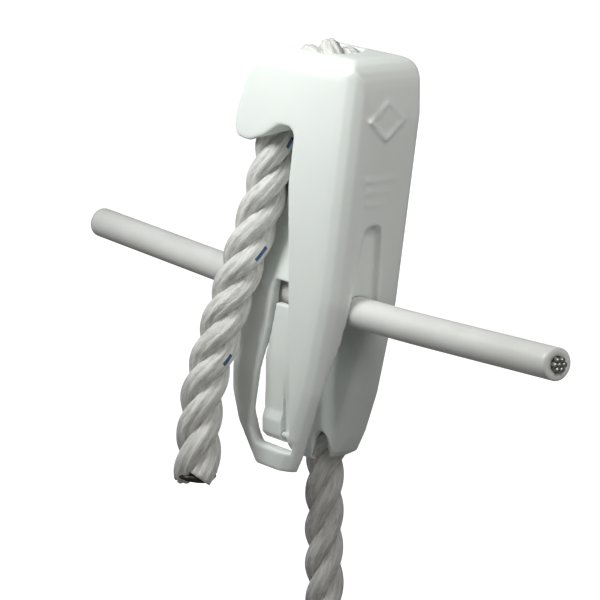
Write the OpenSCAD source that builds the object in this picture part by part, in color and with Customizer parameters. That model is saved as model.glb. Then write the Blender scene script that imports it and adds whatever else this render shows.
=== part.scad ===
// Rope hanger that snaps onto a coated guard wire. A three-strand rope comes up through
// the clip, over a saddle in its head and out under a hook; its load run ends in a
// thimble eye. Millimetres, +Z up. The origin is on the wire's axis, in the clip's seat,
// and +X runs along the wire.

/* [Wire] */
// Outside diameter of the coated wire
wire_d = 8; // [6:0.5:8]
// Diameter of the bare steel wire rope inside the coating
core_d = 4; // [3:0.5:5]
// Wire left of the seat
wire_left = 125; // [100:1:200]
// Wire right of the seat
wire_right = 87; // [60:1:200]
// Upward tilt of the wire beyond each side of the clip
wire_tilt = 2; // [0.5:0.1:3]

/* [Rope] */
// Diameter of the rope
rope_d = 10; // [9:0.5:10]
// Diameter of the slack tail, whose strands have opened a little
tail_d = 11.2; // [10:0.1:12]
// Height of the lower end of the load run, where the eye splice starts
load_end_z = -98; // [-120:1:-80]

/* [Clip] */
// Thickness of the clip
clip_w = 20; // [20:0.5:24]
// Height of the top of the clip above the wire's axis
clip_top = 65; // [64:0.1:68]
// Radius along the near edge of the outer face, beside the groove
edge_r = 8; // [6:0.5:8]
// Radius along the same edge at the clip's top and foot
end_edge_r = 5; // [4:0.5:6]
// Radius along its far edge
far_edge_r = 1.2; // [0.5:0.1:3]
// Gap between the wire and its seat, on the radius
seat_gap = 0.05; // [0.02:0.01:0.1]
// Gap between the rope and its channel, on the radius
rope_gap = 0.6; // [0.5:0.1:1]
// Depth of the blind groove in the face above the wire
groove_depth = 3; // [1:0.5:4]

/* [Latch] */
// Width of the latch finger along the wire
finger_w = 11.1; // [9:0.1:11.2]
// Thickness of the latch finger
finger_t = 2.4; // [1.8:0.2:2.6]

/* [Eye] */
// Inside radius of the thimble
eye_r = 8; // [7:0.5:10]
// Wall of the thimble
thimble_wall = 1.5; // [1:0.5:2]

/* [Hidden] */
$fn = 64;

half_w = clip_w / 2;
wire_r = wire_d / 2;
rope_r = rope_d / 2;
seat_r = wire_r + seat_gap;
slot_half = seat_r;
channel_r = rope_r + rope_gap;
rope_sides = 12;
big = 200;
lap = 0.5;

// The outer face, from the top down: its straight stretches meet at these corners [x, z].
face = [[15.3, 90], [15.1, 51], [5.1, 2], [-3, -23], [-8.2, -34], [-14.7, -43.6]];

// The slot below the wire shifts towards the near side: the middle of its width [y, z]
slot_path = [[0, 0], [-0.3, -7], [-1.7, -16], [-2.5, -23], [-2.5, -60]];

// Where things sit, left to right along the wire
block_left = -39;
cheek_left = -15.1;
leg_left = -34;
loop_left = -41.6;
recess_y = -1;
loop_back_y = -6.2;
leg_bottom = -44.2;
far_bottom = -43.2;
shelf_z = 4.2;

// The latch finger stands from its root, and its barb reaches under the wire
finger_left = -28.3;
finger_step = -19.7;
finger_front = -8.3;
finger_root = [-7.9, -34.8];
barb_tip = [1.4, -5.1];
neck_r = 0.8;
neck_gap = 0.05;
neck_left = -27.9;
neck_grip = 2.6;
root_boss_left = -16.9;
root_boss_r = 1.6;
mouth_r = 3.5;

// The edge between the slot's far wall and the outer face, from under the wire down
face_mouth = [for (i = [0 : 4]) let (z = [-2.7, -7, -16, -23, -46][i],
    across = lookup(z, [for (p = slot_path) [p[1], p[0]]]))
    [lookup(z, [for (p = face) [p[1], p[0]]]), across + slot_half, z]];

// Where the straight middle of the wire ends, at a mitred joint with each side
seat_left = -42;
seat_right = 17;
mitre_gap = 0.01;

// The rope's route, from the cut end of its tail to the mouth of the hook
tail_route = [[-35.4, -24.3, -47], [-35.9, -23.8, -39.5], [-36.4, -22.8, -31.5],
    [-36.4, -21.4, -24], [-36, -19, -16], [-35.2, -16, -6], [-34, -13, 3],
    [-33, -10.6, 11], [-32.2, -8, 19], [-31.6, -5.6, 27], [-31, -3.6, 35],
    [-30.6, -2.4, 42]];
// On over the saddle, down the far side of the wire and out at the foot
captive_route = [[-30.6, -2.4, 42], [-29.4, -1.6, 47.5], [-26.5, -0.9, 53],
    [-22.5, -0.3, 57.5], [-17, 0, 60.9], [-10.5, 0, 62.4], [-4.6, 0, 61.6], [-0.8, 0.3, 57],
    [-0.4, 1.2, 49.5], [-0.8, 3, 42], [-2, 5.4, 34], [-3.6, 7.8, 26], [-5.2, 9.6, 18],
    [-7, 10.5, 9], [-9, 10.7, 0], [-11.6, 10.7, -9], [-14.4, 10.7, -17],
    [-17.5, 10.7, -24.5], [-20.5, 10.4, -31.5], [-22.5, 8.9, -38], [-23, 6.8, -44]];
// The load run hangs straight down from the swing point under the clip
swing = [-23, 6.5, -50];
eye_centre = [swing[0], swing[1], load_end_z - 24];
eye_rope_r = eye_r + thimble_wall + rope_r;

function unit(v) = v / norm(v);
function flat(p) = [p[0], p[1]];

// The arc that rounds corner b between its neighbours a and c, with radius b[2]
function corner(a, b, c, n = 5) =
    let (u = unit(flat(a) - flat(b)), v = unit(flat(c) - flat(b)),
        half = acos(u * v) / 2,
        centre = flat(b) + unit(u + v) * b[2] / sin(half),
        first = flat(b) + u * b[2] / tan(half) - centre,
        last = flat(b) + v * b[2] / tan(half) - centre,
        start = atan2(first[1], first[0]),
        turn0 = atan2(last[1], last[0]) - start,
        turn = turn0 > 180 ? turn0 - 360 : turn0 < -180 ? turn0 + 360 : turn0)
    [for (i = [0 : n]) centre + b[2] * [cos(start + turn * i / n), sin(start + turn * i / n)]];

// An outline from points [across, up, corner radius]
function rounded(p) = let (n = len(p))
    [for (i = [0 : n - 1]) each (p[i][2] > 0
        ? corner(p[(i + n - 1) % n], p[i], p[(i + 1) % n])
        : [flat(p[i])])];

// The direction of a route at point i, and a tube of radius r along it
function heading(p, i) = unit(p[min(i + 1, len(p) - 1)] - p[max(i - 1, 0)]);
function ring(p, i, r) = let (t = heading(p, i), u = unit(cross(t, [0, 1, 0])), v = cross(t, u))
    [for (k = [0 : rope_sides - 1]) let (a = 360 * k / rope_sides) p[i] + r * (cos(a) * u + sin(a) * v)];

module tube(p, r) {
    s = rope_sides;
    n = len(p);
    polyhedron(
        [for (i = [0 : n - 1]) each ring(p, i, r)],
        concat([[for (k = [0 : s - 1]) k]],
            [for (i = [0 : n - 2], k = [0 : s - 1])
                [i * s + k, (i + 1) * s + k, (i + 1) * s + (k + 1) % s, i * s + (k + 1) % s]],
            [[for (k = [s - 1 : -1 : 0]) (n - 1) * s + k]]));
}

// An outline in x and z, given a thickness from y0 to y1
module plate(outline, y0, y1) {
    translate([0, y1, 0]) rotate([90, 0, 0]) linear_extrude(y1 - y0) polygon(outline);
}

// An outline in y and z, given a length from x0 to x1
module bar(outline, x0, x1) {
    translate([x0, 0, 0]) rotate([90, 0, 90]) linear_extrude(x1 - x0) polygon(outline);
}

module block(low, high) {
    translate(low) cube(high - low);
}

// Corners of the outer face, from the second one down, as an outline's right-hand side
function face_points(radii) = [for (i = [1 : len(radii)]) [face[i][0], face[i][1], radii[i - 1]]];

// The head and near cheek: hook, arch over the rope, and the near leg
near_outline = rounded(concat(
    [[15.2, clip_top, 7]], face_points([20, 60, 30, 4]),
    [[-14, leg_bottom, 0], [-17.6, leg_bottom, 0], [cheek_left, -40, 0], [cheek_left, 30, 20],
    [-12.8, 42, 0], [-12.4, 43.5, 1], [-14, 45.3, 2],
    [-19, 45.3, 5], [-26, 41.6, 12], [-33, 39.4, 5], [-40.9, 39.6, 3],
    [-38.8, 47.5, 10], [-33, 58, 12], [-24.5, clip_top, 12]]));

// The far half: a deep block behind the tail, and the far leg
far_outline = rounded(concat(
    [[15.2, clip_top, 7]], face_points([20, 60, 30]),
    [[-11, -39.2, 5], [-19.7, far_bottom, 3], [leg_left, far_bottom, 5], [leg_left - 2, shelf_z, 0],
    [block_left, shelf_z, 1], [block_left, 38, 2], [-40.9, 39.6, 1],
    [-38.8, 47.5, 10], [-33, 58, 12], [-24.5, clip_top, 12]]));

// The loop that frames the window under the tail
loop_outline = rounded([[-12, leg_bottom, 0], [-30.4, leg_bottom, 1.5], [-38.6, -34.5, 5],
    [loop_left, -26.5, 6], [-40.5, -4, 20], [block_left, 20, 0], [-9, 20, 0], [-9, -36, 0]]);
loop_profile = [[-half_w, leg_bottom - 1], [-half_w, -20], [-6.9, 2], [-4.8, 7.5], [recess_y, 17],
    [6, 17], [6, shelf_z], [-slot_half, shelf_z], [-4.6, -3], [-5.8, -10], [-7.4, -15],
    [-8, -19], [-8, -31], [loop_back_y, -36], [loop_back_y, leg_bottom - 1]];
window_outline = rounded([[-26.7, shelf_z, 1], [-27.4, -8, 12], [-29, -16, 12], [-32.2, -29, 12],
    [-33.4, -35.6, 2], [-31, -38.7, 1], [-14.2, -38.7, 1], [-14.2, shelf_z, 1]]);

// The latch finger's outline in y and z
finger_back = finger_front + finger_t;
finger_outline = rounded([[finger_front, -29, 3], [finger_front + 0.2, -15, 8], [-7.3, -4, 8],
    [-7.1, -1.5, 0.6], [-5, -1.5, 0.5], [-4.9, -3.4, 1], [-3.6, barb_tip[1], 0.6],
    [barb_tip[0], barb_tip[1], 0.4], [barb_tip[0] - 0.2, barb_tip[1] - 1.2, 0.4],
    [finger_back + 1, -13, 4], [finger_back, -18, 4], [finger_back, -31, 2],
    [loop_back_y, -33.4, 1], [loop_back_y, -36.2, 0.8], [-7.4, -37.3, 0.8],
    [finger_front - 0.9, -35.4, 1.2], [finger_front - 0.9, -31.6, 1.5]]);

// What is open above the rope in the head
head_opening = concat([for (i = [2 : 6]) [captive_route[i][0], captive_route[i][2]]],
    [[-3.5, 62], [-3.5, big], [-33, big], [-33, 52]]);

// Everything stays inside the thickness, with round edges down the outer face and the top
module outer_shape() {
    intersection_for (i = [0 : len(face) - 2]) {
        rise = face[i] - face[i + 1];
        near_r = i == 0 || i == len(face) - 2 ? end_edge_r : edge_r;
        translate([face[i + 1][0], 0, face[i + 1][1]]) rotate([0, atan(rise[0] / rise[1]), 0])
            translate([0, 0, -big]) linear_extrude(2 * big)
                polygon(rounded([[-big, -half_w, 0], [0, -half_w, near_r], [0, half_w, far_edge_r],
                    [-big, half_w, 0]]));
    }
}

module top_shape() {
    bar(rounded([[-half_w, -big, 0], [-half_w, clip_top, 5], [half_w, clip_top, 3],
        [half_w, -big, 0]]), -big, big);
}

module near_half() {
    difference() {
        plate(near_outline, -half_w, 0);
        // The inside of the near leg, clear of the wire
        block([-big, -slot_half, -big], [big, lap, 0]);
    }
}

module loop() {
    difference() {
        intersection() {
            plate(loop_outline, -half_w, half_w);
            bar(loop_profile, loop_left - 1, -9);
        }
        plate(window_outline, -half_w - lap, half_w);
    }
}

module wire_slot() {
    rotate([0, 90, 0]) cylinder(r = seat_r, h = big, center = true);
    bar(concat([for (p = slot_path) [p[0] - slot_half, p[1]]],
        [for (i = [len(slot_path) - 1 : -1 : 0]) [slot_path[i][0] + slot_half, slot_path[i][1]]]),
        -big / 2, big / 2);
}

// The far leg is rounded where the slot opens in the outer face
module slot_mouth() {
    section = concat([[4, -2], [-mouth_r, -2]],
        [for (a = [-90 : 15 : 0]) mouth_r * [cos(a) - 1, sin(a) + 1] + [0.05, -0.05]],
        [[4, mouth_r - 0.05]]);
    n = len(section);
    polyhedron(
        [for (p = face_mouth) for (q = section) [p[0] + q[0], p[1] + q[1], p[2]]],
        concat([[for (k = [0 : n - 1]) k]],
            [for (i = [0 : len(face_mouth) - 2], k = [0 : n - 1])
                [i * n + k, (i + 1) * n + k, (i + 1) * n + (k + 1) % n, i * n + (k + 1) % n]],
            [[for (k = [n - 1 : -1 : 0]) (len(face_mouth) - 1) * n + k]]));
}

// The rope's way out widens into an arch between the legs
module foot_arch() {
    translate([-17.4, -1, -38.8]) rotate([-90, 0, 0]) cylinder(r = 4, h = 5.5);
    block([-21.4, -1, -50], [-13.4, 4.5, -38.8]);
}

// Blind groove in the outer face, up from the wire
module face_groove() {
    difference() {
        bar(rounded([[-slot_half, 0, 0], [-2.2, 23, 2.1], [2.2, 23, 2.1], [slot_half, 0, 0]]),
            -5, 40);
        translate([-groove_depth, 0, 0]) plate(far_outline, -half_w, half_w);
    }
}

// The way for the rope: a round channel, open at the top of the saddle and on the far side
module rope_way() {
    tube(captive_route, channel_r);
    tube([for (i = [7 : len(tail_route) - 1]) tail_route[i]], tail_d / 2 + 0.4);
    plate(head_opening, -channel_r, channel_r);
}

// Raised marks on the outer face: a plain lozenge and three plain bars
module face_marks() {
    lean = atan((face[1][0] - face[2][0]) / (face[1][1] - face[2][1]));
    translate([face[1][0], 0, face[1][1]]) rotate([0, lean, 0]) {
        for (row = [0 : 2])
            block([-1, -4 + row * 0.4, -17 - row * 3.2], [0.12, 4.5 - row * 1.2, -15.8 - row * 3.2]);
    }
    translate([face[1][0], 0, face[1][1] - 1]) rotate([0, lean / 2, 0]) rotate([45, 0, 0]) difference() {
        block([-1, -3.8, -3.8], [0.15, 3.8, 3.8]);
        block([-2, -2.9, -2.9], [1, 2.9, 2.9]);
    }
}

// An eight-sided boss inside the near leg, which the latch's neck grows out of
module root_boss() {
    intersection() {
        block([root_boss_left, -half_w, -big], [-13.5, slot_path[3][0] - slot_half, big]);
        at_root(root_boss_left) rotate([0, 0, 22.5]) cylinder(r = root_boss_r, h = 12, $fn = 8);
    }
}

// Places a cylinder on the latch's hinge line, from x on
module at_root(x) {
    translate([x, finger_root[0], finger_root[1]]) rotate([0, 90, 0]) children();
}

module clip_body() color("honeydew") difference() {
    union() {
        intersection() {
            union() {
                near_half();
                plate(far_outline, 0, half_w);
                // The floor of the recess that the tail lies in
                block([block_left + 1, recess_y, shelf_z], [0, lap, 41]);
            }
            outer_shape();
            top_shape();
        }
        intersection() {
            loop();
            outer_shape();
        }
        root_boss();
        face_marks();
    }
    wire_slot();
    slot_mouth();
    foot_arch();
    face_groove();
    rope_way();
    at_root(root_boss_left - lap) cylinder(r = neck_r, h = neck_grip + lap);
}

// A finger that stands beside the slot, with a barb under the wire and a swollen foot
module latch_finger() color("whitesmoke") difference() {
    intersection() {
        bar(finger_outline, finger_left, finger_left + finger_w);
        plate([[finger_left, -40], [finger_left, -16], [-26.5, -10], [-25.3, -5], [-24.5, 0],
            [0, 0], [0, -40]], -half_w, half_w);
    }
    at_root(finger_left - lap) cylinder(r = neck_r + neck_gap, h = finger_w + 2 * lap);
    // A step down along the edge that faces the near leg
    bar([[-half_w, -16], [finger_front - 0.2, -16], [finger_front + 0.8, -27],
        [finger_front + 0.8, -40], [-half_w, -40]], finger_step, 0);
}

// The thin neck that twists when the finger is pushed aside
module latch_neck() color("gainsboro") at_root(neck_left)
    cylinder(r = neck_r, h = root_boss_left + neck_grip - neck_left);

// The wire: straight through the clip, and tilted up from a mitred joint on each side
module wire(r, extra = 0) {
    difference() {
        translate([seat_left - lap, 0, 0]) rotate([0, 90, 0])
            cylinder(r = r, h = seat_right - seat_left + 2 * lap);
        at_mitre(seat_right) block([-mitre_gap, -big, -big], [big, big, big]);
        mirror([1, 0, 0]) at_mitre(-seat_left) block([-mitre_gap, -big, -big], [big, big, big]);
    }
    wire_side(r, seat_right, wire_right - seat_right + extra);
    mirror([1, 0, 0]) wire_side(r, -seat_left, wire_left + seat_left + extra);
}

module wire_side(r, start, length) difference() {
    translate([start, 0, 0]) rotate([0, 90 - wire_tilt, 0]) translate([0, 0, -lap])
        cylinder(r = r, h = length + lap);
    at_mitre(start) block([-big, -big, -big], [mitre_gap, big, big]);
}

module at_mitre(x) {
    translate([x, 0, 0]) rotate([0, -wire_tilt / 2, 0]) children();
}

module wire_jacket() color("gainsboro") difference() {
    wire(wire_r);
    wire(core_d / 2, 1);
}

module wire_core() color("silver") wire(core_d / 2);

module rope_tail() color("white") tube(tail_route, tail_d / 2);

// The fused, darkened end of the tail
module rope_tail_melt() color("dimgray") {
    end = tail_route[0];
    out = unit(end - tail_route[1]);
    tube([end, end + 1.2 * out, end + 1.8 * out], rope_r - 0.3);
}

module rope_captive_run() color("white") tube(captive_route, rope_r);

module rope_load_run() color("white") {
    translate(swing) sphere(r = rope_r, $fn = 48);
    translate([swing[0], swing[1], load_end_z]) cylinder(r = rope_r, h = swing[2] - load_end_z);
}

// The eye: half a turn round the thimble, and two legs that close on the load run
module rope_eye() color("white") translate(eye_centre) {
    rise = load_end_z - eye_centre[2];
    rotate([90, 0, 0]) rotate([0, 0, 180]) rotate_extrude(angle = 180)
        translate([eye_rope_r, 0]) circle(rope_r);
    for (side = [-1, 1])
        tube([[side * eye_rope_r, 0, 0], [side * (eye_rope_r - 0.6), 0, 4],
            [side * (eye_rope_r - 4), 0, 12], [side * rope_r, 0, rise]], rope_r);
}

module eye_thimble() color("silver") translate(eye_centre) rotate([90, 0, 0]) difference() {
    cylinder(r = eye_r + thimble_wall, h = rope_d - 2, center = true);
    cylinder(r = eye_r, h = rope_d, center = true);
}

// The end of the rope, tucked back beside the load run above the whipping
module splice_tail() color("white")
    translate([swing[0] + rope_r + 1.55, swing[1], load_end_z + 8.1])
        cylinder(r = 1.5, h = 6);

module splice_whipping() color("steelblue") translate([swing[0], swing[1], load_end_z])
    difference() {
        cylinder(r = rope_r + 1, h = 8);
        cylinder(r = rope_r, h = 20, center = true);
    }

clip_body();
latch_finger();
latch_neck();
wire_jacket();
wire_core();
rope_tail();
rope_tail_melt();
rope_captive_run();
rope_load_run();
rope_eye();
eye_thimble();
splice_tail();
splice_whipping();
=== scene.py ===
"""The looks of a rope hanger clip on a guard wire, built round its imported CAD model.

Everything is in metres, in the CAD model's own frame: the origin is on the wire's axis in
the clip's seat, +X runs along the wire and +Z is up. Routes are written in millimetres,
as in part.scad, and scaled once.
"""

import math

import bmesh
import bpy
import numpy as np
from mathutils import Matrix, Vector


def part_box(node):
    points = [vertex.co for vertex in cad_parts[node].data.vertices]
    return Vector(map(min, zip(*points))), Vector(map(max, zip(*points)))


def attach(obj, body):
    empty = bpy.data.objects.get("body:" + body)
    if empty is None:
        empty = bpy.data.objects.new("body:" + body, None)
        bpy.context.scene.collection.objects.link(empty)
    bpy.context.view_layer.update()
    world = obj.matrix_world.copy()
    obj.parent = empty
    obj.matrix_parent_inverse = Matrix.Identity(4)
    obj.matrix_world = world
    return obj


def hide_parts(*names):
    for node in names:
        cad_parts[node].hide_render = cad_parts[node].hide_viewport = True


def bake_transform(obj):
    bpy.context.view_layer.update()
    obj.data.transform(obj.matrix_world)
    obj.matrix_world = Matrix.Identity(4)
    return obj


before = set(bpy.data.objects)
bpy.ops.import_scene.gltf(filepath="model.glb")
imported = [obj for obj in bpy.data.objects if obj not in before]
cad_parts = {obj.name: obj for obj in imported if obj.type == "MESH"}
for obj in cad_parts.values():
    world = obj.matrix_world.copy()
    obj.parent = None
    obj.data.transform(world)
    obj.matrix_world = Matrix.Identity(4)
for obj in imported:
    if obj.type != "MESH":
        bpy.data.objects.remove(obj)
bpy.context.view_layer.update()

MM = 0.001

# The rope: three strands laid right-handed, each of a few yarns twisted the other way
ROPE_R = 5 * MM
TAIL_R = 5.6 * MM
LAY = 29 * MM
LAY_PHASE = 3.04
YARNS = 8
POINTS_PER_YARN = 4
YARN_PHASE = 0.5
STRAND_STEP = 0.75 * MM
# A strand's centre, its size between two yarns, the height of a yarn and its width over its
# depth, the first three as shares of the rope's radius
STRAND_OUT, STRAND_SIZE, YARN_HEIGHT, STRAND_FLAT = 0.535, 0.41, 0.075, 1.06
# The tracer yarn shows where it faces out this squarely, and not beside the cut end
TRACER_FACING = 0.96
TRACER_START = 15 * MM

# The wire, and where it starts to rise on each side of the clip
WIRE_R = 4 * MM
BORE_R = 2.05 * MM
SEAT_LEFT, SEAT_RIGHT = -42 * MM, 17 * MM
WIRE_TILT = math.tan(math.radians(2))
WIRE_BEND = 6 * MM
WIRE_END_INSET = 0.14 * MM

TAIL_ROUTE = [
    (-35.4, -24.3, -47), (-35.9, -23.8, -39.5), (-36.4, -22.8, -31.5), (-36.4, -21.4, -24),
    (-36, -19, -16), (-35.2, -16, -6), (-34, -13, 3), (-33, -10.6, 11), (-32.2, -8, 19),
    (-31.6, -5.6, 27), (-31, -3.6, 35), (-30.6, -2.4, 42),
]
CAPTIVE_ROUTE = [
    (-30.6, -2.4, 42), (-29.4, -1.6, 47.5), (-26.5, -0.9, 53), (-22.5, -0.3, 57.5),
    (-17, 0, 60.9), (-10.5, 0, 62.4), (-4.6, 0, 61.6), (-0.8, 0.3, 57), (-0.4, 1.2, 49.5),
    (-0.8, 3, 42), (-2, 5.4, 34), (-3.6, 7.8, 26), (-5.2, 9.6, 18), (-7, 10.5, 9),
    (-9, 10.7, 0), (-11.6, 10.7, -9), (-14.4, 10.7, -17), (-17.5, 10.7, -24.5),
    (-20.5, 10.4, -31.5), (-22.5, 8.9, -38), (-23, 6.8, -44),
]
LOAD_ROUTE = [(-23, 6.5, -50), (-23, 6.5, -62), (-23, 6.5, -74), (-23, 6.5, -86), (-23, 6.5, -92)]
SWING = (-23, 6.5, -50)
EYE_CENTRE = (SWING[0], SWING[1], -122)
EYE_R = 14.5
# The eye's legs, as offsets in x and z from its centre: out of the load run, and back to it
LEG_OUT = [(1.6, 25), (4.8, 18.5), (8.8, 12.8), (12.2, 7.6), (14.1, 3.2)]
LEG_BACK = [(-14.1, 3.2), (-12.2, 7.6), (-8.8, 12.8), (-5.4, 18.5), (-3, 24), (-2, 29)]


# ---------------------------------------------------------------- camera

def make_camera(azimuth, elevation, distance, right_by, up_by):
    """A long lens that looks at the wire's seat from azimuth and elevation, in degrees."""
    a, e = math.radians(azimuth), math.radians(elevation)
    back = Vector((math.sin(a) * math.cos(e), -math.cos(a) * math.cos(e), math.sin(e)))
    right = Vector((math.cos(a), math.sin(a), 0))
    target = right * right_by + back.cross(right) * up_by
    camera = bpy.data.objects.new("camera", bpy.data.cameras.new("camera"))
    bpy.context.scene.collection.objects.link(camera)
    camera.data.lens = 240
    camera.data.sensor_width = 36
    camera.data.clip_start = 0.05
    camera.data.clip_end = 100
    camera.location = target + back * distance
    camera.rotation_mode = "QUATERNION"
    camera.rotation_quaternion = (-back).to_track_quat("-Z", "Y")
    bpy.context.scene.camera = camera


# ---------------------------------------------------------------- mesh tools

def new_object(name, mesh, materials):
    obj = bpy.data.objects.new(name, mesh)
    bpy.context.scene.collection.objects.link(obj)
    for m in materials:
        mesh.materials.append(m)
    mesh.shade_smooth()
    return obj


def spline(points, step):
    """Points at an even step along a smooth curve through the given ones (Catmull-Rom)."""
    p = np.array(points, float)
    p = np.vstack([2 * p[0] - p[1], p, 2 * p[-1] - p[-2]])
    t = np.linspace(0, 1, 24, endpoint=False)[:, None]
    dense = []
    for a, b, c, d in zip(p, p[1:], p[2:], p[3:]):
        dense.append(0.5 * (2 * b + (c - a) * t + (2 * a - 5 * b + 4 * c - d) * t ** 2
                            + (3 * b - a - 3 * c + d) * t ** 3))
    dense = np.vstack(dense + [p[-2:-1]])
    along = np.concatenate([[0], np.cumsum(np.linalg.norm(np.diff(dense, axis=0), axis=1))])
    at = np.linspace(0, along[-1], int(round(along[-1] / step)) + 1)
    return np.stack([np.interp(at, along, dense[:, k]) for k in range(3)], axis=1)


def unit(v):
    return v / np.linalg.norm(v, axis=-1, keepdims=True)


def carried_frames(line):
    """For each point of a line: its tangent, and two sideways directions that don't twist."""
    tangent = unit(np.gradient(line, axis=0))
    side = np.zeros_like(line)
    side[0] = unit(np.cross(tangent[0], (0.3, 1.0, 0.1)))
    for i in range(1, len(line)):
        carried = side[i - 1] - tangent[i] * (side[i - 1] @ tangent[i])
        side[i] = unit(carried)
    return tangent, side, np.cross(tangent, side)


def grid_faces(rings, around):
    """Quads of a tube of rings, each with the same number of points."""
    i, j = np.meshgrid(np.arange(rings - 1), np.arange(around), indexing="ij")
    here, there = i * around, (i + 1) * around
    k = (j + 1) % around
    return np.stack([here + j, here + k, there + k, there + j], axis=-1).reshape(-1, 4)


def tube_mesh(name, tubes, uvs=None, face_materials=None):
    """A mesh of closed tubes, each an array of rings, points and coordinates."""
    verts, faces, uv_list, slots, base = [], [], [], [], 0
    for n, rings in enumerate(tubes):
        count, around = rings.shape[:2]
        verts += rings.reshape(-1, 3).tolist()
        quads = grid_faces(count, around) + base
        faces += quads.tolist()
        faces.append([base + j for j in reversed(range(around))])
        faces.append([base + (count - 1) * around + j for j in range(around)])
        slots += [0] * (len(quads) + 2) if face_materials is None else face_materials[n]
        if uvs is not None:
            uv_list += uvs[n]
        base += count * around
    mesh = bpy.data.meshes.new(name)
    mesh.from_pydata(verts, [], faces)
    mesh.polygons.foreach_set("material_index", slots)
    if uvs is not None:
        layer = mesh.uv_layers.new(name="strand")
        layer.data.foreach_set("uv", np.array(uv_list, np.float32).ravel())
    mesh.update()
    return mesh


def ring_tube(line, radius, around=32):
    """A plain round tube along a line, as rings."""
    _, u, v = carried_frames(line)
    a = np.linspace(0, 2 * math.pi, around, endpoint=False)[None, :, None]
    r = np.broadcast_to(radius, len(line))[:, None, None]
    return line[:, None] + r * (np.cos(a) * u[:, None] + np.sin(a) * v[:, None])


# ---------------------------------------------------------------- materials

def shader(name):
    """A new material, its node tree and its Principled shader."""
    m = bpy.data.materials.new(name)
    m.use_nodes = True
    return m, m.node_tree, m.node_tree.nodes["Principled BSDF"]


def add(tree, kind, inputs=(), **attributes):
    """A node with its attributes set and its inputs given as values or linked sockets."""
    n = tree.nodes.new(kind)
    for key, value in attributes.items():
        setattr(n, key, value)
    for key, value in dict(inputs).items():
        if isinstance(value, bpy.types.NodeSocket):
            tree.links.new(value, n.inputs[key])
        else:
            n.inputs[key].default_value = value
    return n


def ramp(tree, factor, stops):
    """A colour ramp from (position, colour) stops."""
    n = add(tree, "ShaderNodeValToRGB", {"Fac": factor})
    elements = n.color_ramp.elements
    while len(elements) < len(stops):
        elements.new(1.0)
    for element, (position, colour) in zip(elements, stops):
        element.position = position
        element.color = (*colour, 1)
    return n.outputs["Color"]


def spread_value(tree, factor, low, high, start=0.0):
    """A factor from start to 1, spread from low to high."""
    n = add(tree, "ShaderNodeMapRange", {
        "Value": factor, "From Min": start, "To Min": low, "To Max": high})
    return n.outputs["Result"]


def noise(tree, vector, scale, detail=3.0, roughness=0.5, distortion=0.0):
    n = add(tree, "ShaderNodeTexNoise", {
        "Vector": vector, "Scale": scale, "Detail": detail, "Roughness": roughness,
        "Distortion": distortion})
    return n.outputs["Fac"]


def place(tree, scale=(1, 1, 1)):
    """The piece's own coordinates, stretched."""
    own = add(tree, "ShaderNodeTexCoord").outputs["Object"]
    return add(tree, "ShaderNodeMapping", {"Vector": own, "Scale": scale}).outputs["Vector"]


def bump(tree, height, distance, strength=1.0, normal=None):
    inputs = {"Height": height, "Distance": distance, "Strength": strength}
    if normal is not None:
        inputs["Normal"] = normal
    return add(tree, "ShaderNodeBump", inputs).outputs["Normal"]


def plastic(name, light, dark, rough=(0.34, 0.46), soft=0.2):
    """White moulded plastic: cloudy by a shade, faintly uneven, with a fine satin grain."""
    m, tree, out = shader(name)
    own = place(tree)
    cloud = noise(tree, own, 38, 4)
    tree.links.new(ramp(tree, cloud, [(0.3, dark), (0.7, light)]), out.inputs["Base Color"])
    wear = noise(tree, own, 210, 5, 0.65)
    tree.links.new(spread_value(tree, wear, *rough), out.inputs["Roughness"])
    flow = bump(tree, noise(tree, own, 60, 2), 0.00012)
    tree.links.new(bump(tree, noise(tree, own, 2600, 2), 0.000012, 0.6, flow), out.inputs["Normal"])
    out.inputs["Subsurface Weight"].default_value = soft
    out.inputs["Subsurface Radius"].default_value = (1.0, 0.95, 0.85)
    out.inputs["Subsurface Scale"].default_value = 0.0025
    return m


def coating(name):
    """The wire's extruded coating: drawn lines along it, and a few dull patches."""
    m, tree, out = shader(name)
    drawn = noise(tree, place(tree, (6, 900, 900)), 1, 3)
    patches = noise(tree, place(tree, (1, 3, 3)), 55, 4, 0.6)
    tree.links.new(ramp(tree, patches, [(0.32, (0.70, 0.70, 0.68)), (0.66, (0.78, 0.78, 0.765))]),
                   out.inputs["Base Color"])
    tree.links.new(spread_value(tree, patches, 0.3, 0.44), out.inputs["Roughness"])
    tree.links.new(bump(tree, drawn, 0.00003, 0.5), out.inputs["Normal"])
    return m


def fibre(name, light, dark, filaments=2.2):
    """Twisted yarns: fine filaments along each one, and a shade of difference between them."""
    m, tree, out = shader(name)
    uv = add(tree, "ShaderNodeUVMap", uv_map="strand").outputs["UV"]
    along = add(tree, "ShaderNodeMapping", {"Vector": uv, "Scale": (filaments, 1.6, 1)})
    shade = add(tree, "ShaderNodeMapping", {"Vector": uv, "Scale": (0.5, 0.8, 1)})
    threads = noise(tree, along.outputs["Vector"], 3.0, 4, 0.65)
    patch = noise(tree, shade.outputs["Vector"], 2.0, 3, 0.6)
    both = add(tree, "ShaderNodeMath", {0: threads, 1: patch}, operation="ADD").outputs[0]
    half = add(tree, "ShaderNodeMath", {0: both, 1: 0.5}, operation="MULTIPLY").outputs[0]
    tree.links.new(ramp(tree, half, [(0.38, dark), (0.56, light)]), out.inputs["Base Color"])
    tree.links.new(bump(tree, threads, 0.0005, 0.9), out.inputs["Normal"])
    tree.links.new(spread_value(tree, patch, 0.6, 0.78), out.inputs["Roughness"])
    out.inputs["Sheen Weight"].default_value = 0.25
    out.inputs["Sheen Roughness"].default_value = 0.45
    return m


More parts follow.
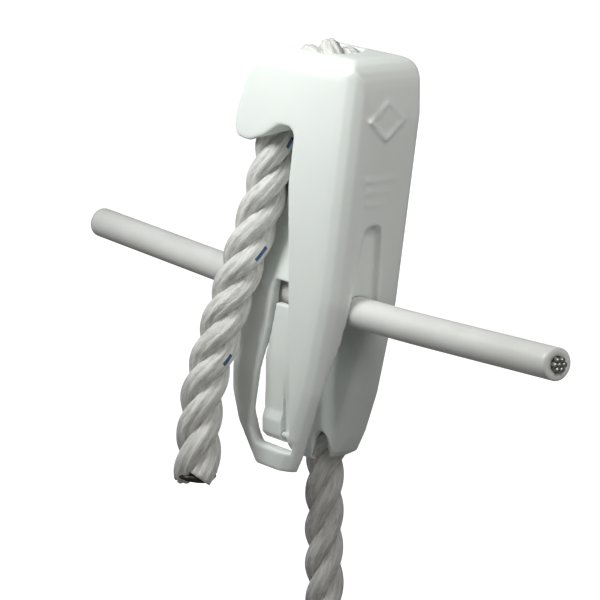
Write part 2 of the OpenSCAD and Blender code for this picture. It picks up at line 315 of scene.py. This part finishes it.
def fused(name):
    """Rope fibre melted by a flame: glossy brown-black, amber where it is thin."""
    m, tree, out = shader(name)
    own = place(tree)
    blot = noise(tree, own, 330, 4, 0.6)
    tree.links.new(ramp(tree, blot, [(0.38, (0.012, 0.009, 0.008)), (0.55, (0.05, 0.03, 0.02)),
                                     (0.72, (0.32, 0.27, 0.22))]), out.inputs["Base Color"])
    tree.links.new(spread_value(tree, blot, 0.3, 0.6), out.inputs["Roughness"])
    tree.links.new(bump(tree, noise(tree, own, 900, 3), 0.0001), out.inputs["Normal"])
    return m


def steel(name):
    """Galvanised wire: grey, drawn, slightly blotched."""
    m, tree, out = shader(name)
    blot = noise(tree, place(tree, (1, 8, 8)), 300, 4)
    tree.links.new(ramp(tree, blot, [(0.35, (0.33, 0.33, 0.33)), (0.7, (0.55, 0.55, 0.54))]),
                   out.inputs["Base Color"])
    tree.links.new(spread_value(tree, blot, 0.28, 0.5), out.inputs["Roughness"])
    out.inputs["Metallic"].default_value = 1.0
    return m


# ---------------------------------------------------------------- rope

def laid_rope(name, line, frames, along, radius, materials):
    """A three-strand rope along a stretch of the whole rope's line.

    along is each point's distance from the rope's cut end, which sets how far the strands
    have turned there, so that stretches made apart meet strand to strand.
    """
    _, side, across = frames
    radius = np.broadcast_to(radius, len(line))
    around = YARNS * POINTS_PER_YARN
    column = np.arange(around)
    lump = np.abs(np.cos(math.pi * column / POINTS_PER_YARN))
    tubes, uvs, slots = [], [], []
    for strand in range(3):
        turn = 2 * math.pi * (along / LAY + strand / 3) + LAY_PHASE
        out = np.cos(turn)[:, None] * side + np.sin(turn)[:, None] * across
        centre = line + out * (radius * STRAND_OUT)[:, None]
        run = unit(np.gradient(centre, axis=0))
        out = unit(out - run * (out * run).sum(1, keepdims=True))
        beside = np.cross(run, out)
        yarn = 2 * math.pi * column[None, :] / around - 2 * math.pi * along[:, None] / LAY + YARN_PHASE
        size = radius[:, None] * (STRAND_SIZE + YARN_HEIGHT * lump[None, :])
        wide = size * STRAND_FLAT
        rings = (centre[:, None]
                 + (size * np.cos(yarn))[..., None] * out[:, None]
                 + (wide * np.sin(yarn))[..., None] * beside[:, None])
        tubes.append(rings)
        uvs.append(strand_uvs(along, around, strand))
        slots.append(tracer_slots(along, around, strand))
    mesh = tube_mesh(name, tubes, uvs, slots)
    return new_object(name, mesh, materials)


def strand_uvs(along, around, strand):
    """u goes once round a strand and v along it, in hundredths of a metre."""
    u = np.arange(around + 1) / around * YARNS + strand * 17
    v = along * 100
    corners = []
    for i in range(len(along) - 1):
        for j in range(around):
            corners += [(u[j], v[i]), (u[j + 1], v[i]), (u[j + 1], v[i + 1]), (u[j], v[i + 1])]
    cap = [(u[j], v[0]) for j in reversed(range(around))]
    return corners + cap + [(u[j], v[-1]) for j in range(around)]


def tracer_slots(along, around, strand):
    """Slot 1 for the one blue yarn of the first strand, where it comes to the rope's surface."""
    facing = np.cos(2 * math.pi * along[:-1] / LAY - YARN_PHASE)
    row = np.array([strand == 0 and j in (0, around - 1) for j in range(around)])
    shown = ((facing > TRACER_FACING) & (along[:-1] > TRACER_START))[:, None] * row[None, :]
    return shown.astype(int).ravel().tolist() + [0, 0]


def millimetres(points):
    return [tuple(MM * c for c in p) for p in points]


def eye_route():
    """Out of the load run, round the thimble and back, in millimetres."""
    x, y, z = EYE_CENTRE
    turn = [(x + EYE_R * math.cos(a), y, z - EYE_R * math.sin(a))
            for a in np.linspace(0, math.pi, 9)]
    return ([(x + dx, y, z + dz) for dx, dz in LEG_OUT] + turn
            + [(x + dx, y, z + dz) for dx, dz in LEG_BACK])


def nearest_index(line, point):
    return int(np.linalg.norm(line - np.array(point), axis=1).argmin())


def make_rope(materials):
    """The whole rope as four pieces: tail, captive run, load run and eye."""
    routes = TAIL_ROUTE + CAPTIVE_ROUTE[1:] + LOAD_ROUTE + eye_route()
    line = spline(millimetres(routes), STRAND_STEP)
    frames = carried_frames(line)
    along = np.concatenate([[0], np.cumsum(np.linalg.norm(np.diff(line, axis=0), axis=1))])
    # Where one piece hands over to the next: at the hook, low in the clip's channel, and
    # where the load run forks into its eye
    mouth = nearest_index(line, millimetres([TAIL_ROUTE[-1]])[0])
    foot = nearest_index(line, millimetres([CAPTIVE_ROUTE[-4]])[0])
    fork = nearest_index(line, millimetres([LOAD_ROUTE[-1]])[0])
    # The tail has opened, most of all at its cut end, and the eye's last strands taper off
    radius = np.interp(along, [0, 16 * MM, along[mouth] - 12 * MM, along[mouth] + 4 * MM],
                       [TAIL_R * 1.09, TAIL_R * 1.02, TAIL_R, ROPE_R])
    end_taper = np.interp(along[-1] - along, [0, 14 * MM], [0.45, 1.0])
    radius = radius * end_taper

    def stretch(name, first, last):
        part = slice(first, last + 1)
        piece = laid_rope(name, line[part], [f[part] for f in frames], along[part],
                          radius[part], materials)
        return piece, line[part]

    return {
        "tail": stretch("tail_strands", 0, mouth),
        "captive": stretch("captive_strands", mouth, foot),
        "load": stretch("load_strands", foot, fork),
        "eye": stretch("eye_strands", fork, len(line) - 1),
    }


# ---------------------------------------------------------------- other pieces

def moulded(name, node, voxel, passes, materials):
    """A CAD node's shape with the softened edges of a moulding."""
    rough = bpy.data.meshes.new(name)
    bm = bmesh.new()
    bm.from_mesh(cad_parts[node].data)
    bmesh.ops.remove_doubles(bm, verts=bm.verts, dist=1e-6)
    bm.to_mesh(rough)
    bm.free()
    shaper = bpy.data.objects.new(name + "_shaper", rough)
    bpy.context.scene.collection.objects.link(shaper)
    remesh = shaper.modifiers.new("remesh", "REMESH")
    remesh.mode = "VOXEL"
    remesh.voxel_size = voxel
    smooth = shaper.modifiers.new("smooth", "SMOOTH")
    smooth.factor = 0.5
    smooth.iterations = passes
    bpy.context.view_layer.update()
    done = shaper.evaluated_get(bpy.context.evaluated_depsgraph_get())
    mesh = bpy.data.meshes.new_from_object(done)
    mesh.name = name
    mesh.materials.clear()
    bpy.data.objects.remove(shaper)
    bpy.data.meshes.remove(rough)
    return new_object(name, mesh, materials)


# ---------------------------------------------------------------- build

make_camera(57, 11.8, 1.0, -13.35 * MM, 2.65 * MM)

rope_white = fibre("rope_white", (0.82, 0.81, 0.785), (0.50, 0.495, 0.475))
tracer_blue = fibre("tracer_blue", (0.035, 0.10, 0.26), (0.012, 0.035, 0.11))
rope = make_rope([rope_white, tracer_blue])

clip_white = plastic("clip_white", (0.835, 0.865, 0.84), (0.815, 0.845, 0.82))
clip = moulded("moulded_clip", "clip_body", 0.42 * MM, 9, [clip_white])
finger = moulded("moulded_finger", "latch_finger", 0.25 * MM, 3, [clip_white])
for piece, node, body in [(clip, "clip_body", "clip"), (finger, "latch_finger", "latch")]:
    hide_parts(node)
    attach(piece, body)

# The materials of the rope's other pieces: the melt, the thimble and the whipping twine
melt_black = fused("melt_black")
thimble_white = plastic("thimble_white", (0.80, 0.80, 0.785), (0.74, 0.74, 0.72), (0.4, 0.55), 0.1)
twine = fibre("waxed_twine", (0.66, 0.64, 0.58), (0.46, 0.44, 0.39), 12.0)


def melted_end(line):
    """The fused end of the tail: a lumpy cap that has run a little over the strands."""
    end, out = line[0], unit(line[0] - line[3])
    side = unit(np.cross(out, (0, 1, 0)))
    across = np.cross(out, side)
    rings = []
    profile = [(0.2, -0.9), (0.72, -1.0), (0.9, -0.7), (0.97, -0.2), (0.95, 0.3), (0.84, 0.75),
               (0.6, 1.05), (0.3, 1.25), (0.05, 1.3)]
    for share, height in profile:
        ring = []
        for a in np.linspace(0, 2 * math.pi, 48, endpoint=False):
            lobe = 0.86 + 0.13 * abs(math.cos(1.5 * a + 0.4))
            wobble = 1 + 0.05 * math.sin(5 * a + 2 * height) + 0.03 * math.sin(11 * a + 1)
            r = (TAIL_R - 0.4 * MM) * share * lobe * wobble
            lift = (height + 0.35 * math.sin(2 * a + 1) * share) * MM
            ring.append(end + side * r * math.cos(a) + across * r * math.sin(a) + out * lift)
        rings.append(ring)
    return new_object("melted_end", tube_mesh("melted_end", [np.array(rings)]), [melt_black])


def whipping():
    """Turns of waxed twine bound round the neck of the eye, lying side by side."""
    x, y, _ = SWING
    turns, pitch, low = 8, 0.92, -97.6
    t = np.linspace(0, turns, turns * 28)
    r = 5.75
    line = MM * np.stack([x + r * np.cos(2 * math.pi * t), y + r * np.sin(2 * math.pi * t),
                          low + pitch * t], axis=1)
    rings = ring_tube(line, 0.5 * MM, 10)
    along = t * 2 * math.pi * r * MM
    uvs = []
    for i in range(len(line) - 1):
        for j in range(10):
            u0, u1 = j / 10, (j + 1) / 10
            v0, v1 = along[i] * 100, along[i + 1] * 100
            uvs += [(u0, v0), (u1, v0), (u1, v1), (u0, v1)]
    uvs += [(0, 0)] * 20
    return new_object("whipping_turns", tube_mesh("whipping_turns", [rings], [uvs]), [twine])


def thimble():
    """A round thimble with a channel for the rope and two rolled lips."""
    x, y, z = EYE_CENTRE
    half = [(8.0, 3.9), (8.35, 4.0), (9.6, 4.0), (10.5, 4.0), (10.75, 3.75), (10.6, 3.5),
            (10.1, 3.1), (9.75, 2.2), (9.55, 1.1)]
    section = half + [(9.5, 0)] + [(r, -w) for r, w in reversed(half)]
    verts, faces, n, steps = [], [], len(section), 96
    for i in range(steps):
        a = 2 * math.pi * i / steps
        verts += [(MM * (x + r * math.cos(a)), MM * (y + w), MM * (z + r * math.sin(a)))
                  for r, w in section]
        k = (i + 1) % steps
        faces += [(i * n + j, i * n + (j + 1) % n, k * n + (j + 1) % n, k * n + j) for j in range(n)]
    mesh = bpy.data.meshes.new("thimble_ring")
    mesh.from_pydata(verts, [], faces)
    mesh.update()
    bm = bmesh.new()
    bm.from_mesh(mesh)
    bmesh.ops.recalc_face_normals(bm, faces=bm.faces)
    bm.to_mesh(mesh)
    bm.free()
    return new_object("thimble_ring", mesh, [thimble_white])


def tucked_strand():
    """The end of one strand, where it comes out above the whipping."""
    x, y, _ = SWING
    line = spline(millimetres([(x + 4.9, y - 0.4, -92), (x + 6.1, y - 0.1, -89.5),
                               (x + 6.6, y, -87), (x + 6.5, y + 0.2, -84.3)]), 0.4 * MM)
    along = np.arange(len(line)) * 0.4 * MM
    around = 20
    lump = 1 + 0.1 * np.abs(np.cos(math.pi * np.arange(around) / 4))
    _, u, v = carried_frames(line)
    a = 2 * math.pi * np.arange(around)[None, :] / around + along[:, None] * 260
    r = (1.3 * MM * lump)[None, :, None] * np.ones((len(line), 1, 1))
    rings = line[:, None] + r * (np.cos(a)[..., None] * u[:, None] + np.sin(a)[..., None] * v[:, None])
    uvs = strand_uvs(along, around, 5)
    mesh = tube_mesh("tucked_strand", [rings], [uvs])
    return new_object("tucked_strand", mesh, [rope_white])


def wire_line(step):
    """The wire's axis: straight in the clip, tilted up by 2 degrees outside, bent smoothly."""
    low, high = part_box("wire_jacket")
    x = np.arange(low[0] + WIRE_END_INSET, high[0] - WIRE_END_INSET, step)
    left = np.logaddexp(0, (SEAT_LEFT - x) / WIRE_BEND) * WIRE_BEND
    right = np.logaddexp(0, (x - SEAT_RIGHT) / WIRE_BEND) * WIRE_BEND
    # The share keeps the wire's ends inside the CAD box
    return np.stack([x, 0 * x, WIRE_TILT * (left + right) * 0.985], axis=1)


def wire_coat():
    """The coating: a tube with a bore, its cut edges slightly rounded."""
    line = wire_line(1.0 * MM)
    outer = np.full(len(line), WIRE_R)
    outer[[0, -1]] -= 0.35 * MM
    line[[0, -1]] = line[[1, -2]] + (line[[0, -1]] - line[[1, -2]]) * 0.35
    shell = ring_tube(line, outer, 48)
    bore = ring_tube(line, BORE_R, 48)
    n, around = shell.shape[:2]
    verts = np.concatenate([shell.reshape(-1, 3), bore.reshape(-1, 3)])
    faces = grid_faces(n, around).tolist()
    faces += (grid_faces(n, around)[:, ::-1] + n * around).tolist()
    for row, flip in ((0, True), (n - 1, False)):
        for j in range(around):
            k = (j + 1) % around
            a, b = row * around + j, row * around + k
            quad = [a, b, b + n * around, a + n * around]
            faces.append(quad[::-1] if flip else quad)
    mesh = bpy.data.meshes.new("wire_coat")
    mesh.from_pydata(verts.tolist(), [], faces)
    mesh.update()
    return new_object("wire_coat", mesh, [coating("wire_coating_white")])


def wire_strand():
    """The steel inside: six wires laid round a seventh."""
    line = wire_line(1.5 * MM)
    _, side, across = carried_frames(line)
    along = np.concatenate([[0], np.cumsum(np.linalg.norm(np.diff(line, axis=0), axis=1))])
    # Six wires and the seventh fill the bore with a hair to spare
    r = 0.655 * MM
    tubes = [ring_tube(line, r, 12)]
    for k in range(6):
        turn = 2 * math.pi * (along / (38 * MM) + k / 6)
        offset = np.cos(turn)[:, None] * side + np.sin(turn)[:, None] * across
        tubes.append(ring_tube(line + offset * 2 * r, r, 12))
    return new_object("wire_strand", tube_mesh("wire_strand", tubes), [steel("galvanised_wire")])


tail, tail_line = rope["tail"]
captive, captive_line = rope["captive"]
load_run, load_line = rope["load"]
eye, eye_line = rope["eye"]
cap = melted_end(tail_line)
binding = whipping()
ring = thimble()
tuck = tucked_strand()


def ride_for(piece, node, body):
    """The piece stands for a CAD node, whose own mesh is hidden, and rides on its body."""
    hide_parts(node)
    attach(piece, body)


ride_for(tail, "rope_tail", "clip")
ride_for(cap, "rope_tail_melt", "clip")
ride_for(captive, "rope_captive_run", "clip")
ride_for(eye, "rope_eye", "load_rope")
ride_for(ring, "eye_thimble", "load_rope")
ride_for(binding, "splice_whipping", "load_rope")
ride_for(tuck, "splice_tail", "load_rope")
ride_for(wire_coat(), "wire_jacket", "wire")
ride_for(wire_strand(), "wire_core", "wire")

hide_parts("rope_load_run")
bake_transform(load_run)


# The neck keeps its CAD mesh and takes the clip's plastic
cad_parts["latch_neck"].data.materials.clear()
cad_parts["latch_neck"].data.materials.append(clip_white)


# ---------------------------------------------------------------- stage and light

def make_floor():
    """A plain pale floor well under the eye."""
    mesh = bpy.data.meshes.new("floor")
    s, z = 30.0, -0.26
    mesh.from_pydata([(-s, -s, z), (s, -s, z), (s, s, z), (-s, s, z)], [], [(0, 1, 2, 3)])
    m, tree, out = shader("floor_white")
    out.inputs["Base Color"].default_value = (0.9, 0.9, 0.9, 1)
    out.inputs["Roughness"].default_value = 0.9
    out.inputs["Emission Color"].default_value = (1, 1, 1, 1)
    out.inputs["Emission Strength"].default_value = 1.0
    floor = new_object("floor", mesh, [m])
    floor.visible_diffuse = False
    floor.visible_glossy = False


def make_sky():
    """Soft light from all round, brightest overhead and dim from below."""
    world = bpy.data.worlds.new("studio")
    bpy.context.scene.world = world
    world.use_nodes = True
    tree = world.node_tree
    up = add(tree, "ShaderNodeSeparateXYZ", {0: add(tree, "ShaderNodeTexCoord").outputs["Generated"]})
    height = spread_value(tree, up.outputs["Z"], 0.0, 1.0, start=-1.0)
    sky = ramp(tree, height, [(0.3, (0.15, 0.15, 0.145)), (0.5, (0.2, 0.2, 0.195)),
                              (0.8, (0.23, 0.23, 0.225))])
    tree.links.new(sky, tree.nodes["Background"].inputs["Color"])


def area_light(name, place_at, aim, size, power, colour=(1, 1, 1)):
    light = bpy.data.lights.new(name, "AREA")
    light.size = size
    light.energy = power
    light.color = colour
    obj = bpy.data.objects.new(name, light)
    bpy.context.scene.collection.objects.link(obj)
    obj.location = place_at
    obj.rotation_mode = "QUATERNION"
    obj.rotation_quaternion = (Vector(aim) - Vector(place_at)).to_track_quat("-Z", "Y")
    obj.visible_camera = False


make_floor()
make_sky()
area_light("key", (-0.045, -0.125, 0.15), (-0.02, 0, 0.035), 0.08, 0.315, (0.965, 1.0, 0.98))
area_light("fill", (0.30, -0.06, 0.22), (0, 0, 0.02), 0.16, 0.43, (1.0, 0.99, 0.97))
bpy.context.scene.view_settings.view_transform = "Standard"
